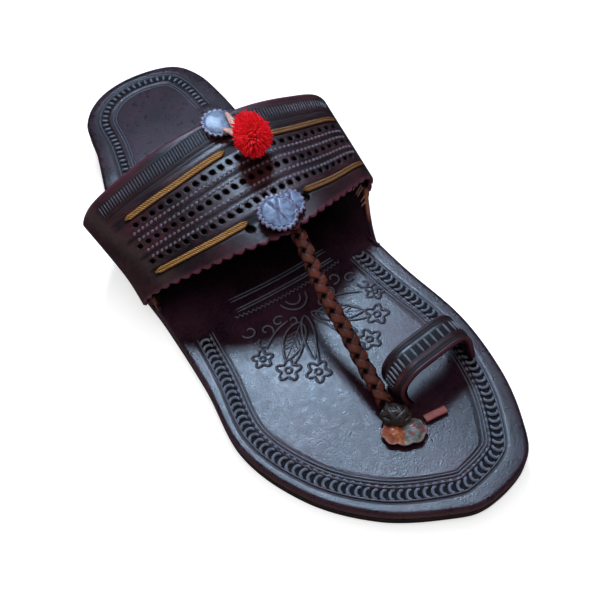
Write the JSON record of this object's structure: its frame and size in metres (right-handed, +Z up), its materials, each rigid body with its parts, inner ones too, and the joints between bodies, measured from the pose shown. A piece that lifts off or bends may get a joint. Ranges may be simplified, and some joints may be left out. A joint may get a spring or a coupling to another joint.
{
  "type": "kolhapuri leather sandal",
  "caption": "Right-foot kolhapuri sandal in dark leather: wide punched instep strap with woven gold bands, toe loop, plaited thong, pinked rosettes and a red wool pompom.",
  "frame": {"origin": "on the floor under the middle of the sandal's bounding box", "axes": "+Y from heel to toes, +X to the little toe's side, +Z up"},
  "size_m": [0.122, 0.275, 0.0712],
  "materials": {
    "sole_leather": "black-brown sole leather, burnished at the edge",
    "insole_leather": "dark aubergine-brown leather, polished, pebbled and tooled",
    "strap_leather": "dark wine-brown leather, polished",
    "red_leather": "reddish-brown plaited leather, polished",
    "rosette_leather": "blue-grey leather, pinked edge",
    "petal_leather": "pale pink leather, matt",
    "red_wool": "bright red wool tuft",
    "gold_thread": "gold woven metallic thread"
  },
  "bodies": {
    "root": {"outsole": "sole_leather", "insole": "insole_leather", "heel_lift": "sole_leather", "instep_strap": "strap_leather", "toe_loop": "strap_leather", "braid": "red_leather", "braid_knot": "red_leather", "toe_leaf": "red_leather", "toe_tab": "red_leather", "front_rosette": "rosette_leather", "front_rosette_small": "rosette_leather", "rear_rosette": "rosette_leather", "rear_petals": "petal_leather", "pompom": "red_wool", "gold_band_outer_rear": "gold_thread", "gold_band_outer_front": "gold_thread", "gold_band_inner_rear": "gold_thread", "gold_band_inner_front": "gold_thread"}
  },
  "joints": []
}
